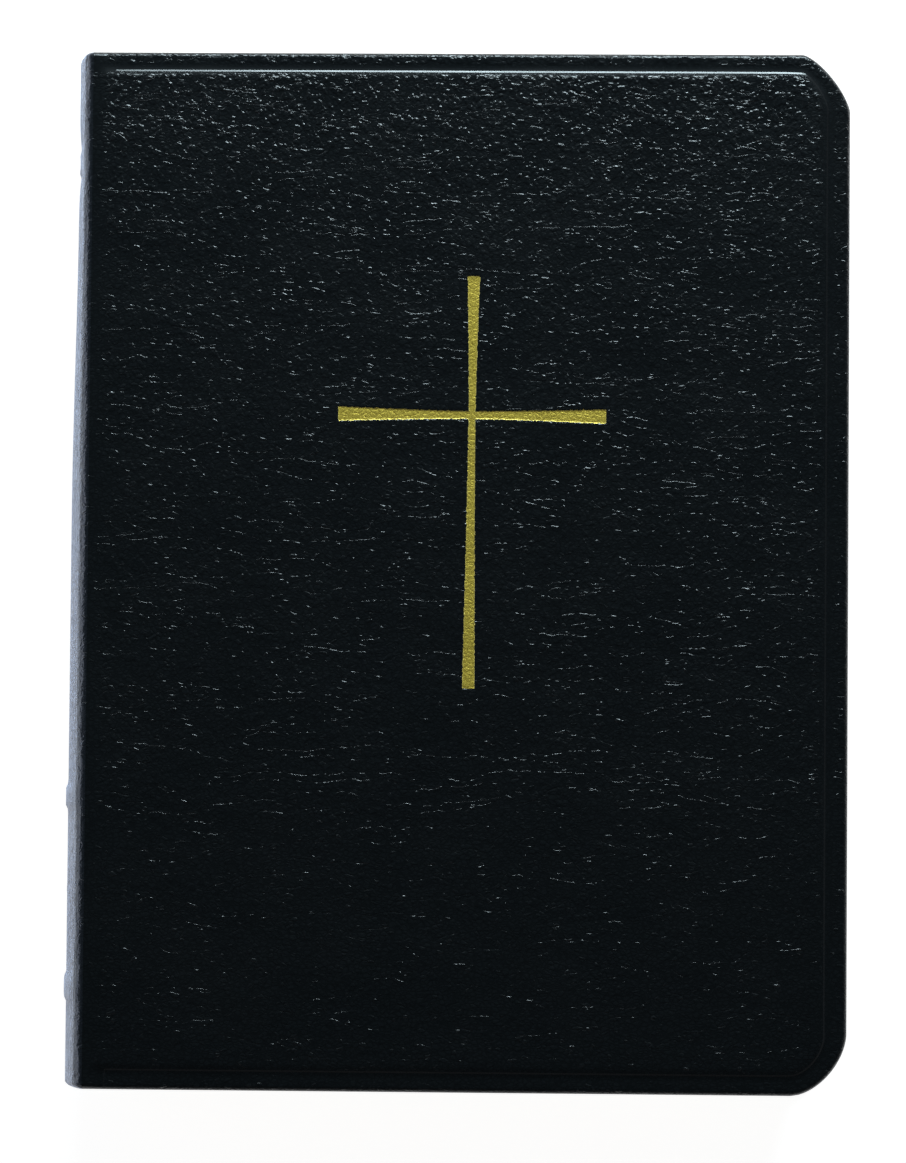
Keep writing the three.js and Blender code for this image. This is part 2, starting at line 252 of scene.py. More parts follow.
class Nodes:
    """A material's node tree, with one short call for each kind of node."""

    def __init__(self, name, **constants):
        self.material = bpy.data.materials.new(name)
        self.material.use_nodes = True
        self.tree = self.material.node_tree
        self.shader = self.tree.nodes["Principled BSDF"]
        for socket, value in constants.items():
            self.shader.inputs[socket.replace("_", " ")].default_value = value

    def node(self, kind, **settings):
        made = self.tree.nodes.new(kind)
        for key, value in settings.items():
            setattr(made, key, value)
        return made

    def set(self, socket, value):
        if isinstance(value, bpy.types.NodeSocket):
            self.tree.links.new(value, socket)
        else:
            socket.default_value = value

    def fed(self, kind, *values, **settings):
        """The first output of a node whose first sockets are given."""
        made = self.node(kind, **settings)
        for socket, value in zip(made.inputs, values):
            self.set(socket, value)
        return made.outputs[0]

    def rest(self):
        return self.node("ShaderNodeAttribute", attribute_name="rest").outputs["Vector"]

    def attribute(self, name):
        return self.node("ShaderNodeAttribute", attribute_name=name).outputs["Fac"]

    def object(self):
        """The rest position of a carried-over CAD node, in millimetres."""
        place = self.node("ShaderNodeTexCoord").outputs["Object"]
        return self.scale(place, (1000, 1000, 1000))

    def scale(self, vector, factors):
        return self.fed("ShaderNodeVectorMath", vector, factors, operation="MULTIPLY")

    def shift(self, vector, other):
        return self.fed("ShaderNodeVectorMath", vector, other, operation="ADD")

    def split(self, vector):
        made = self.node("ShaderNodeSeparateXYZ")
        self.set(made.inputs[0], vector)
        return made.outputs

    def join(self, x, y, z):
        return self.fed("ShaderNodeCombineXYZ", x, y, z)

    def math(self, operation, a, b=0.0, c=0.0):
        return self.fed("ShaderNodeMath", a, b, c, operation=operation)

    def noise(self, vector, scale, detail=2.0, roughness=0.5):
        made = self.node("ShaderNodeTexNoise")
        self.set(made.inputs["Vector"], vector)
        made.inputs["Scale"].default_value = scale
        made.inputs["Detail"].default_value = detail
        made.inputs["Roughness"].default_value = roughness
        return made.outputs["Fac"], made.outputs["Color"]

    def cells(self, vector, feature="DISTANCE_TO_EDGE"):
        made = self.node("ShaderNodeTexVoronoi", feature=feature)
        self.set(made.inputs["Vector"], vector)
        made.inputs["Scale"].default_value = 1.0
        return made.outputs

    def remap(self, value, low, high, out_low=0.0, out_high=1.0, kind="SMOOTHSTEP"):
        made = self.node("ShaderNodeMapRange", interpolation_type=kind)
        self.set(made.inputs["Value"], value)
        for name, number in (
            ("From Min", low), ("From Max", high), ("To Min", out_low), ("To Max", out_high)
        ):
            made.inputs[name].default_value = number
        return made.outputs[0]

    def mix(self, share, a, b):
        made = self.node("ShaderNodeMix", data_type="RGBA")
        self.set(made.inputs["Factor"], share)
        self.set(made.inputs["A"], a)
        self.set(made.inputs["B"], b)
        return made.outputs["Result"]

    def shades(self, value, low, high, tint, dim):
        """The tint where value is high, and a dimmed one where it is low."""
        return self.mix(self.remap(value, low, high), rgb(*(c * dim for c in tint)), rgb(*tint))

    def bump(self, height):
        """Height is in millimetres."""
        made = self.node("ShaderNodeBump")
        made.inputs["Strength"].default_value = 1.0
        made.inputs["Distance"].default_value = MM
        self.set(made.inputs["Height"], height)
        self.set(self.shader.inputs["Normal"], made.outputs["Normal"])

    def colour(self, value):
        self.set(self.shader.inputs["Base Color"], value)

    def roughness(self, value):
        self.set(self.shader.inputs["Roughness"], value)


def rgb(r, g, b):
    return (r, g, b, 1.0)


def leather(name, grain=1.0, streaks=0.0, **constants):
    """Black leather: dashed creases that wander across it, soft pebbles and a few sharp ones.

    The streaks are lengthwise wrinkles, where it is stretched over the back.
    """
    n = Nodes(name, **constants)
    rest = n.rest()
    share = n.math("MULTIPLY", n.attribute("grain"), grain)
    wander = n.scale(n.noise(rest, WANDER_NOISE, 3.0)[1], WANDER)
    place = n.shift(rest, wander)
    level = n.noise(n.scale(place, CREASE_NOISE), 1.0, 1.0)[0]
    contour = n.math("FRACT", n.math("MULTIPLY", level, CREASE_COUNT))
    off_crease = n.math("MINIMUM", contour, n.math("SUBTRACT", 1.0, contour))
    crease = n.remap(off_crease, 0.0, CREASE_EDGE)
    dashes = n.remap(n.noise(n.scale(rest, DASH_NOISE), 1.0, 1.0)[0], *DASH_RANGE)
    cells = n.scale(place, PEBBLE_NOISE)
    pebbles = n.remap(n.cells(cells)["Distance"], 0.0, PEBBLE_EDGE)
    pick = n.split(n.cells(cells, "F1")["Color"])[0]
    sharp = n.math("POWER", pick, SHARP_POWER)
    swell = n.noise(n.scale(rest, SWELL_NOISE), 1.0, 2.0)[0]
    pores = n.noise(rest, PORE_NOISE, 2.0)[0]
    dots = n.math("MULTIPLY_ADD", sharp, *PEBBLE_HEIGHTS)
    dots = n.math("MULTIPLY", dots, n.math("POWER", share, PEBBLE_FADE))
    lines = n.math("MULTIPLY_ADD", dashes, *CREASE_HEIGHTS)
    lines = n.math("MULTIPLY", lines, n.math("POWER", share, CREASE_FADE))
    height = n.math("MULTIPLY_ADD", pebbles, dots, n.math("MULTIPLY", crease, lines))
    height = n.math("MULTIPLY_ADD", n.math("MULTIPLY", pores, share), PORE_HEIGHT, height)
    height = n.math("MULTIPLY_ADD", swell, SWELL_HEIGHT, height)
    step = n.remap(n.attribute("past_step"), -STEP_REACH, STEP_REACH, kind="LINEAR")
    height = n.math("MULTIPLY_ADD", step, STEP_HEIGHT, height)
    if streaks:
        wrinkles = n.noise(n.scale(rest, STREAK_NOISE), 1.0, 2.0)[0]
        height = n.math("MULTIPLY_ADD", wrinkles, streaks, height)
    n.bump(height)
    # painted shade: the colour is darker down between the pebbles
    n.colour(n.mix(pebbles, rgb(0.0064, 0.0084, 0.0096), rgb(0.0092, 0.012, 0.0137)))
    patches = n.noise(rest, GLOSS_NOISE, 3.0)[0]
    n.roughness(n.remap(patches, 0.3, 0.7, *GLOSS_RANGE, "LINEAR"))
    return n.material


def gold_foil(name):
    """Foil pressed into grained leather: it dips into the pebbles and has worn off in specks. Up
    the recess walls it is painted a paler gold, as a painted highlight.
    """
    n = Nodes(name, Metallic=0.5)
    rest = n.rest()
    grain = n.cells(n.scale(rest, (1.3, 1.5, 1.5)))["Distance"]
    grit = n.noise(rest, 5.5, 4.0, 0.7)[0]
    height = n.math("MULTIPLY_ADD", grit, 0.05, n.remap(grain, 0.0, 0.25, 0.0, 0.03))
    n.bump(height)
    tone = n.mix(n.remap(grit, 0.35, 0.62), rgb(0.66, 0.46, 0.05), rgb(1.0, 0.77, 0.12))
    # painted highlight: paler gold on the recess walls, where the "grain" attribute marks them
    tone = n.mix(n.remap(n.attribute("grain"), 0.05, 0.5), tone, rgb(1.0, 0.85, 0.25))
    worn = n.remap(n.noise(rest, 3.2, 5.0, 0.75)[0], 0.655, 0.69)
    n.colour(n.mix(worn, tone, rgb(0.03, 0.025, 0.012)))
    n.roughness(n.remap(grit, 0.3, 0.7, 0.36, 0.58, "LINEAR"))
    return n.material


def gilt_edge(name):
    """The gilded edge of a stack of thin leaves: fine lines along each leaf."""
    n = Nodes(name, Metallic=0.9)
    rest = n.rest()
    leaves = n.noise(n.scale(rest, (0.08, 0.08, 9.0)), 1.0, 3.0, 0.6)[0]
    bands = n.noise(n.scale(rest, (0.03, 0.03, 1.1)), 1.0, 2.0)[0]
    height = n.math("MULTIPLY_ADD", leaves, 0.05, n.math("MULTIPLY", bands, 0.06))
    n.bump(height)
    n.colour(n.mix(n.remap(leaves, 0.3, 0.7), rgb(0.42, 0.27, 0.07), rgb(0.78, 0.56, 0.2)))
    n.roughness(n.remap(bands, 0.3, 0.7, 0.25, 0.42, "LINEAR"))
    return n.material


def paper(name, tint, printed=False):
    """Thin opaque paper, with rows of broken strokes where it is printed."""
    n = Nodes(name, Roughness=0.8, Specular_IOR_Level=0.25)
    rest = n.rest()
    fibres = n.noise(n.scale(rest, (1.0, 1.0, 0.2)), 2.2, 4.0, 0.6)[0]
    cloud = n.noise(rest, 0.05, 2.0)[0]
    n.bump(n.math("MULTIPLY", fibres, 0.012))
    sheet = n.shades(cloud, 0.35, 0.65, tint, 0.9)
    if printed:
        pitch = 3.7
        word_length, row_shift, stroke_length = 0.42, 7.3, 3.2
        print_area = ((3.0, 41.0), (0.0, 59.0))  # centre and reach in X and in Y
        x, y, _ = n.split(rest)
        line = n.math("DIVIDE", y, pitch)
        row = n.math("FLOOR", line)
        in_row = n.math("FRACT", line)
        along = n.math("MULTIPLY", x, word_length)
        words = n.noise(n.join(along, n.math("MULTIPLY", row, row_shift), 0.0), 1.0)[0]
        strokes = n.noise(n.join(n.math("MULTIPLY", x, stroke_length), line, 0.5), 1.0, 1.0)[0]
        ink = n.math("MULTIPLY", n.remap(words, 0.4, 0.42), n.remap(strokes, 0.35, 0.5))
        ink = n.math("MULTIPLY", ink, n.remap(in_row, 0.3, 0.33))
        ink = n.math("MULTIPLY", ink, n.remap(in_row, 0.7, 0.73, 1.0, 0.0))
        for coordinate, (centre, reach) in zip((x, y), print_area):
            off = n.math("ABSOLUTE", n.math("SUBTRACT", coordinate, centre))
            ink = n.math("MULTIPLY", ink, n.remap(off, reach, reach + 0.1, 1.0, 0.0))
        sheet = n.mix(n.math("MULTIPLY", ink, 0.72), sheet, rgb(0.09, 0.08, 0.075))
    n.colour(sheet)
    return n.material


def card(name, tint):
    n = Nodes(name, Roughness=0.9, Specular_IOR_Level=0.2)
    grit = n.noise(n.rest(), 1.4, 5.0, 0.7)[0]
    n.bump(n.math("MULTIPLY", grit, 0.05))
    n.colour(n.shades(grit, 0.35, 0.65, tint, 0.72))
    return n.material


def laid_paper(name, tint):
    """Endpaper with faint laid lines, for the carried-over CAD sheets."""
    n = Nodes(name, Roughness=0.82, Specular_IOR_Level=0.25)
    place = n.object()
    x, y, _ = n.split(place)
    laid_turn, chain_turn, chain_power = 5.2, 0.126, 40.0
    lines = n.math("SINE", n.math("MULTIPLY", y, laid_turn))
    chains = n.math("ABSOLUTE", n.math("SINE", n.math("MULTIPLY", x, chain_turn)))
    chains = n.math("POWER", chains, chain_power)
    fibres = n.noise(place, 2.0, 4.0, 0.65)[0]
    height = n.math("MULTIPLY_ADD", lines, 0.006, n.math("MULTIPLY", fibres, 0.02))
    n.bump(n.math("MULTIPLY_ADD", chains, 0.01, height))
    n.colour(n.shades(fibres, 0.35, 0.65, tint, 0.9))
    return n.material


def weave(name, tint, pitch):
    """Open plain weave."""
    n = Nodes(name, Roughness=0.95)
    _, y, z = n.split(n.rest())
    turn = math.pi / pitch
    threads = n.math(
        "MAXIMUM",
        n.math("ABSOLUTE", n.math("SINE", n.math("MULTIPLY", y, turn))),
        n.math("ABSOLUTE", n.math("SINE", n.math("MULTIPLY", z, turn))),
    )
    n.bump(n.math("MULTIPLY", threads, 0.12))
    n.colour(n.shades(threads, 0.55, 0.9, tint, 0.5))
    return n.material


def satin(name, tint):
    """Ribbon: fine ribs across it and a soft sheen."""
    n = Nodes(name, Roughness=0.42, Sheen_Weight=0.35, Anisotropic=0.5)
    lean, rib_turn = 0.12, 15.0
    x, y, _ = n.split(n.rest())
    along = n.math("SUBTRACT", y, n.math("MULTIPLY", x, lean))
    ribs = n.math("SINE", n.math("MULTIPLY", along, rib_turn))
    slubs = n.noise(n.scale(n.rest(), (2.5, 0.2, 1.0)), 1.0, 2.0)[0]
    n.bump(n.math("MULTIPLY_ADD", ribs, 0.012, n.math("MULTIPLY", slubs, 0.02)))
    n.colour(n.shades(slubs, 0.3, 0.7, tint, 0.55))
    return n.material


def silk_stripes(name, first, second):
    """Headband silk, wound in two colours that change from one turn to the next."""
    n = Nodes(name, Roughness=0.5, Sheen_Weight=0.4)
    thread_turn = 26.0
    z = n.split(n.rest())[2]
    stripe = n.remap(n.math("SINE", n.math("MULTIPLY", z, math.pi / WINDING)), -0.1, 0.1)
    thread = n.math("SINE", n.math("MULTIPLY", z, thread_turn))
    n.bump(n.math("MULTIPLY", thread, 0.03))
    n.colour(n.mix(stripe, rgb(*first), rgb(*second)))
    return n.material


LEATHER_COVER = leather("leather_cover")
LEATHER_SPINE = leather(
    "leather_spine", 0.8, 0.22,
    Sheen_Weight=1.0, Sheen_Roughness=0.4, Sheen_Tint=rgb(0.62, 0.72, 1.0),
)
FOIL = gold_foil("gold_foil")
GILT = gilt_edge("gilt_edge")
PAGE = paper("page_paper", (0.97, 0.83, 0.68), printed=True)
BACKS = paper("folded_backs", (0.82, 0.7, 0.53))
FLYLEAF = paper("flyleaf_paper", (0.96, 0.82, 0.68))
ENDPAPER = laid_paper("endpaper_laid", (0.96, 0.82, 0.68))
CARD = card("card", (0.26, 0.23, 0.19))
KRAFT = card("kraft_liner", (0.4, 0.3, 0.18))
MULL = weave("mull_weave", (0.72, 0.68, 0.58), 0.8)
SILK = silk_stripes("headband_silk", (0.62, 0.42, 0.07), (0.42, 0.02, 0.03))
RED_SATIN = satin("ribbon_red_satin", (0.3, 0.012, 0.02))
GOLD_SATIN = satin("ribbon_gold_satin", (0.5, 0.29, 0.05))


# ---------------------------------------------------------------- leather covers

def corner_of(y):
    """The reach in X, the reach in Y and the power of the corner on the side where y lies."""
    at_head = np.asarray(y) > 0
    return [np.where(at_head, h, t) for h, t in zip(HEAD_CORNER, TAIL_CORNER)]


def outline_x(y, inset):
    """How far a cover with rounded fore-edge corners reaches at y, inside an even inset."""
    reach_x, reach_y, p = corner_of(y)
    radius_x = np.maximum(reach_x - inset, 0.5)
    radius_y = np.maximum(reach_y - inset, 0.5)
    t = np.clip((np.abs(y) - HEAD + inset + radius_y) / radius_y, 0.0, 1.0)
    return FORE_X - inset - radius_x + radius_x * (1 - t**p) ** (1 / p)


def edge_gap(x, y):
    """Distance in from the cover's edge, and the border's width there."""
    reach_x, reach_y, p = corner_of(y)
    across = np.maximum(x - FORE_X + reach_x, 0) / reach_x
    along = np.maximum(np.abs(y) - HEAD + reach_y, 0) / reach_y
    in_corner = (across > 0) & (along > 0)
    out = (across**p + along**p) ** (1 / p)
    size = (across * reach_x + along * reach_y) / np.maximum(across + along, 1e-6)
    gap_fore = FORE_X - x
    gap_end = HEAD - np.abs(y)
    gap = np.where(in_corner, size * (1 - out), np.minimum(gap_fore, gap_end))
    end_border = np.where(y > 0, BORDER_HEAD, BORDER_TAIL)
    share = smooth((gap_end - gap_fore + reach_y) / (2 * reach_y))
    return gap, end_border + (BORDER_FORE - end_border) * share


def cross_mask(x, y, grow=0.0):
    """1 inside the stamped cross, falling to 0 across its wall."""
    rounded = 0.25
    lean = math.radians(CROSS_LEAN)
    across = (x - CROSS_X) * math.cos(lean) - (y - CROSS_Y) * math.sin(lean)
    along = (x - CROSS_X) * math.sin(lean) + (y - CROSS_Y) * math.cos(lean)
    up, down = cross_high[1] - CROSS_Y, CROSS_Y - cross_low[1]
    right, left = cross_high[0] - CROSS_X, CROSS_X - cross_low[0]
    arms = []
    for off, run, plus, minus, widths in (
        (across, along, up, down, CROSS_UPRIGHT), (along, across, right, left, CROSS_BAR)
    ):
        length = np.where(run > 0, plus, minus) - 0.1
        t = np.abs(run) / length
        half = (widths[0] + (widths[1] - widths[0]) * t**1.5) / 2
        ragged = 0.03 * np.sin(run * 5.1 + 2 * np.sin(run * 1.7)) + 0.02 * np.sin(run * 13.0 + off)
        side = half + ragged - np.abs(off)
        end = length - np.abs(run) + ragged
        corner = rounded - np.hypot(np.maximum(rounded - side, 0), np.maximum(rounded - end, 0))
        at_corner = (side < rounded) & (end < rounded)
        arms.append(np.where(at_corner, corner, np.minimum(side, end)) + grow)
    return smooth(np.maximum(*arms) / CROSS_WALL + 0.5)


def cover_depth(x, y, is_front):
    """How far the outer face lies below the cover's highest level."""
    gap, border = edge_gap(x, y)
    near_joint = smooth((x - JOINT_X) / JOINT_STRIP)
    low = 1 - smooth((gap - border) / STEP_WIDTH + 0.5)
    crown = CROWN * np.exp(-np.maximum(gap - border, 0) / CROWN_REACH)
    depth = (low * (BORDER_RELIEF - CROWN) + crown) * near_joint
    if is_front:
        waves = (
            np.sin(x * 0.31 + 1.3 * np.sin(y * 0.11))
            + np.sin(y * 0.47 + 0.9 * np.sin(x * 0.16) + 1.0)
            + 0.7 * np.sin(y * 0.93 + x * 0.21)
        )
        field = smooth((gap - border) / 4) * near_joint
        depth = depth + SURFACE_WAVE * (waves + 2.7) * field
        depth = depth + CROSS_DEPTH * cross_mask(x, y, CROSS_GROW)
    return depth


def cover_grain(x, y, outside):
    """How strongly the grain shows, and how far in from the border's step each place is.

    The grain is pressed out at the step and round the edge.
    """
    gap, border = edge_gap(x, y)
    field = smooth((gap - border - 0.35) / 0.6)
    band = 0.75 * smooth((border - 0.8 - gap) / 0.6)
    near_joint = smooth((x - JOINT_X - 0.4) / 2.2)
    toward_head = 0.84 + 0.13 * y / HEAD - 0.1 * smooth((-20 - y) / 40)
    toward_head += 0.16 * smooth((y - 35) / 35) + 0.22 * smooth((y - 58) / 14)
    share = (field + band) * (0.15 + 0.85 * near_joint) * toward_head * outside
    past_step = np.where(outside & (x > JOINT_X + JOINT_STRIP), gap - border, 1.0)
    return np.stack([share, past_step])


def rim_rings(top_depth, turn_depth):
    """(inset, depth) of each ring round a cover's edge, from its outer face to the board pocket."""
    rings = []
    steps = 6
    for k in range(1, steps + 1):
        a = math.pi / 2 * k / steps
        drop = (EDGE_DROP - top_depth) * (1 - math.cos(a))
        rings.append((EDGE_ROUND * (1 - math.sin(a)), top_depth + drop))
    flat = np.zeros_like(top_depth)
    inner = turn_depth - 0.3
    for inset, depth in (
        (0.0, turn_depth - 0.55),
        (0.1, turn_depth - 0.25),
        (0.35, turn_depth - 0.06),
        (0.7, turn_depth),
        (TURN_IN, turn_depth),
        (TURN_IN, inner),
        (LEATHER, inner),
        (LEATHER, LEATHER),
    ):
        rings.append((inset, flat + depth))
    return rings


def cover_rows():
    edge = HEAD - EDGE_ROUND
    fine = [(HEAD - BORDER_HEAD, 0.5, 0.14), (BORDER_TAIL - HEAD, 0.5, 0.2), (CROSS_Y, 1.3, 0.13)]
    fine += [(cross_high[1], 0.5, 0.13), (cross_low[1], 0.5, 0.13)]
    rows = list(samples(-edge, edge, 0.62, fine))
    for sign, corner in ((-1, TAIL_CORNER), (1, HEAD_CORNER)):
        for angle in range(0, 90, 6):
            along = math.sin(math.radians(angle)) * (corner[1] - EDGE_ROUND)
            rows.append(sign * (HEAD - corner[1] + along))
    rows = sorted(rows)
    kept = [rows[0]]
    for y in rows[1:-1]:
        if y - kept[-1] > 0.07 and rows[-1] - y > 0.05:
            kept.append(y)
    return np.array(kept + [rows[-1]])


def cover_columns():
    fine = [(FORE_X - BORDER_FORE, 0.5, 0.2), (CROSS_X, 1.3, 0.13)]
    fine += [(cross_high[0], 0.4, 0.13), (cross_low[0], 0.4, 0.13)]
    fine += [(JOINT_X + JOINT_STRIP / 2, JOINT_STRIP / 2, 0.3)]
    columns = samples(JOINT_X, FORE_X - EDGE_ROUND, 0.66, fine)
    nearest = np.argmin(np.abs(columns - JOINT_X - JOINT_STRIP))
    columns[nearest] = JOINT_X + JOINT_STRIP
    return columns


ROWS = cover_rows()


def fitted_grid(columns, rows, hold, full, reaches):
    """A grid whose columns past hold are drawn in, so that full comes to each row's own reach."""
    x = np.broadcast_to(columns, (len(rows), len(columns))).copy()
    beyond = columns > hold
    x[:, beyond] = hold + (x[:, beyond] - hold) * (reaches[:, None] - hold) / (full - hold)
    return x, np.broadcast_to(rows[:, None], x.shape)


def cover_skin(is_front):
    """Vertices and faces of one cover's leather, from the joint to the turned-in edges."""
    columns = cover_columns()
    x, y = fitted_grid(columns, ROWS, FORE_X - 20, columns[-1], outline_x(ROWS, EDGE_ROUND))
    depth = cover_depth(x, y, is_front)
    verts = [layers(x, y, [depth])]
    n, m = x.shape
    faces = grid_faces(n, m)
    index = np.arange(n * m).reshape(n, m)
    path = np.concatenate([index[-1, :], index[-2:0:-1, -1], index[0, ::-1]])
    px, py, pd = verts[0][path].T
    count = len(path)
    reach_x, reach_y, _ = corner_of(py)
    centre_x = FORE_X - reach_x
    centre_y = HEAD - reach_y
    is_end = np.concatenate([np.full(m, True), np.full(n - 2, False), np.full(m, True)])
    in_corner = ~is_end & (np.abs(py) > centre_y)
    dx = np.where(in_corner, (px - centre_x) / (reach_x - EDGE_ROUND), 0)
    dy = np.where(in_corner, (np.abs(py) - centre_y) / (reach_y - EDGE_ROUND), 0)
    sign = np.sign(py)
    previous = path
    start = n * m
    for inset, ring_depth in rim_rings(pd, COVER):
        radius_x = np.maximum(reach_x - inset, 0.5)
        radius_y = np.maximum(reach_y - inset, 0.5)
        cx = FORE_X - inset - radius_x
        cy = HEAD - inset - radius_y
        along_end = JOINT_X + (px - JOINT_X) * (cx - JOINT_X) / (centre_x - JOINT_X)
        ring_x = np.where(is_end, along_end, FORE_X - inset)
        ring_x = np.where(in_corner, cx + dx * radius_x, ring_x)
        along_fore = np.where(is_end, sign * (HEAD - inset), py * cy / centre_y)
        ring_y = np.where(in_corner, sign * (cy + dy * radius_y), along_fore)
        verts.append(np.stack([ring_x, ring_y, ring_depth], axis=-1))
        ring = np.arange(start, start + count)
        faces += np.stack([previous[1:], ring[1:], ring[:-1], previous[:-1]], axis=1).tolist()
        previous = ring
        start += count
    head_end = previous[:m]
    tail_end = previous[-m:][::-1]
    faces += np.stack([head_end[:-1], head_end[1:], tail_end[1:], tail_end[:-1]], axis=1).tolist()
    faces.append([int(i) for i in previous[m - 1 : count - m + 1]])
    verts = np.concatenate(verts)
    if is_front:
        verts[:, 2] = TOP - verts[:, 2]
    else:
        faces = [f[::-1] for f in faces]
    return verts, faces


def part_of(verts, faces, keep, grain=None):
    """Only the kept faces, the vertices that they use, and these vertices' grain."""
    kept = [f for f, k in zip(faces, keep) if k]
    used = np.unique(np.concatenate([np.asarray(f) for f in kept]))
    number = np.full(len(verts), -1)
    number[used] = np.arange(len(used))
    kept = [number[f].tolist() for f in kept]
    return verts[used], kept, None if grain is None else grain[:, used]


def covers():
    for name, is_front in (("front", True), ("back", False)):
        verts, faces = cover_skin(is_front)
        outside = np.abs(verts[:, 2] - (TOP if is_front else 0)) < SKIN_REACH
        grain = cover_grain(verts[:, 0], verts[:, 1], outside)
        if is_front:
            middle = np.array([verts[f, 0].mean() for f in faces])
            at_joint = middle < JOINT_X + JOINT_STRIP
            *joint, joint_grain = part_of(verts, faces, at_joint, grain)
            strip = make("front_joint_skin", *joint, [LEATHER_COVER], "leather", grain=joint_grain)
            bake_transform(strip)
            verts, faces, grain = part_of(verts, faces, ~at_joint, grain)
        panel = make(f"{name}_cover_skin", verts, faces, [LEATHER_COVER], "leather", grain=grain)
        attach(panel, f"{name}_cover")
        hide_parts(f"{name}_leather")


# ---------------------------------------------------------------- leather spine

def spine_bulge(y):
    """The back is slimmer at the head, draws in under the top band and swells over the bands."""
    slim = HEAD_SLIM * smooth((y - 8) / 46)
    pinch = PINCH * bell((y - BANDS_Y[0]) / PINCH_REACH)
    lift = sum(BAND_RELIEF * smooth((BAND_WIDTH / 2 + 0.35 - np.abs(y - b)) / 0.7) for b in BANDS_Y)
    return BULGE - BAND_RELIEF - slim - pinch + lift


def spine_curve(depth, bulge):
    """Points round the back from the front joint to the back joint, depth in from its face."""
    half = MIDDLE_Z - depth
    radius = max(SHOULDER - depth, 0.25)
    step = max(SHOULDER_STEP - depth, 0.1)
    angles = np.linspace(0, math.pi / 2, 9)[:-1]
    top = half - radius * (1 - np.cos(angles))
    side = np.linspace(half - radius, radius - half, 34)
    z = np.concatenate([top, side, -top[::-1]])
    lift = np.concatenate([np.sin(angles), np.ones_like(side), np.sin(angles)[::-1]])
    out = lift * (step + (bulge - depth - step) * (1 - (z / half) ** 2))
    return JOINT_X - out, MIDDLE_Z + z


def spine_skin():
    """The spine's leather, with its edges turned in over the liner at the head and tail."""
    rings = [(y, *spine_curve(0.0, bulge)) for y, bulge in zip(ROWS, spine_bulge(ROWS))]
    cap = LEATHER + 0.75
    ends = {}
    for sign in (1, -1):
        bulge = float(spine_bulge(np.array(sign * HEAD)))
        ends[sign] = [
            (sign * (HEAD - inset), *spine_curve(float(depth), bulge))
            for inset, depth in rim_rings(np.array(0.0), cap)
        ]
    rings = ends[-1][::-1] + rings + ends[1]
    verts = np.concatenate([np.stack([x, np.full_like(x, y), z], axis=-1) for y, x, z in rings])
    count = len(rings[0][1])
    faces = grid_faces(len(rings), count)
    last = (len(rings) - 1) * count
    faces += [[k + 1, k, last + k, last + k + 1] for k in range(count - 1)]
    faces = [f[::-1] for f in faces]
    on_band = sum(smooth((BAND_WIDTH / 2 + 0.9 - np.abs(verts[:, 1] - b)) / 0.8) for b in BANDS_Y)
    grain = np.stack([1 - 0.7 * on_band, np.ones(len(verts))])
    skin = make("spine_skin", verts, faces, [LEATHER_SPINE], "leather", grain=grain)
    on_spine(skin, "spine_leather")


def on_spine(obj, node=None):
    """Rides on the back: it is parented to the spine's body."""
    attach(obj, "spine")
    if node:
        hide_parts(node)
    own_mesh(obj)


def bend_at_gutter(obj):
    """Bakes the piece's placement into its mesh."""
    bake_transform(obj)


def spine_inside():
    """The liner, hollow, mull and band strips: the CAD shapes, which ride on the spine with the
    leather.
    """
    for node, material, slot in (
        ("spine_liner", KRAFT, "liner"),
        ("spine_hollow", KRAFT, "liner"),
        ("mull", MULL, "mull"),
        ("raised_band_1", CARD, "board"),
        ("raised_band_2", CARD, "board"),
        ("raised_band_3", CARD, "board"),
    ):
        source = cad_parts[node].data
        verts = np.array([v.co for v in source.vertices]) / MM
        faces = [list(p.vertices) for p in source.polygons]
        beyond_backs = np.minimum(verts[:, 0] - JOINT_X + BACKS_BULGE, 0)
        verts[:, 0] -= beyond_backs * (1 - INNER_SQUEEZE)
        piece = make(f"{node}_strip", verts, faces, [material], slot, smooth_shade=False)
        on_spine(piece, node)


def spine_ornament():
    """A small foil cross that follows the round of the back."""
    low, high = box_mm("spine_ornament")
    centre_y = high[1] - 3.4
    half_z = (high[2] - low[2]) / 2
    pitch, thinnest, flare, power = 0.1, 0.3, 0.25, 1.7
    ys = np.arange(low[1], high[1] + pitch / 2, pitch)
    zs = np.arange(low[2], high[2] + pitch / 2, pitch)
    y, z = np.meshgrid(ys, zs, indexing="ij")
    up = np.where(y > centre_y, high[1] - centre_y, centre_y - low[1])
    along, across = np.abs(y - centre_y), np.abs(z - MIDDLE_Z)
    upright = thinnest + flare * (along / up) ** power - across
    bar = thinnest + flare * (across / half_z) ** power - along
    inside = np.maximum(upright, bar) > 0
    curve_x, curve_z = spine_curve(-0.03, float(spine_bulge(np.array(centre_y))))
    x = np.interp(-z, -curve_z, curve_x)
    verts = np.stack([x, y, z], axis=-1).reshape(-1, 3)
    faces = grid_faces(*x.shape)
    keep = [inside.ravel()[f].all() for f in faces]
    verts, faces, _ = part_of(verts, [f[::-1] for f in faces], keep)
    foil = make("spine_foil", verts, faces, [FOIL], "foil")
    on_spine(foil, "spine_ornament")


# ---------------------------------------------------------------- front cross

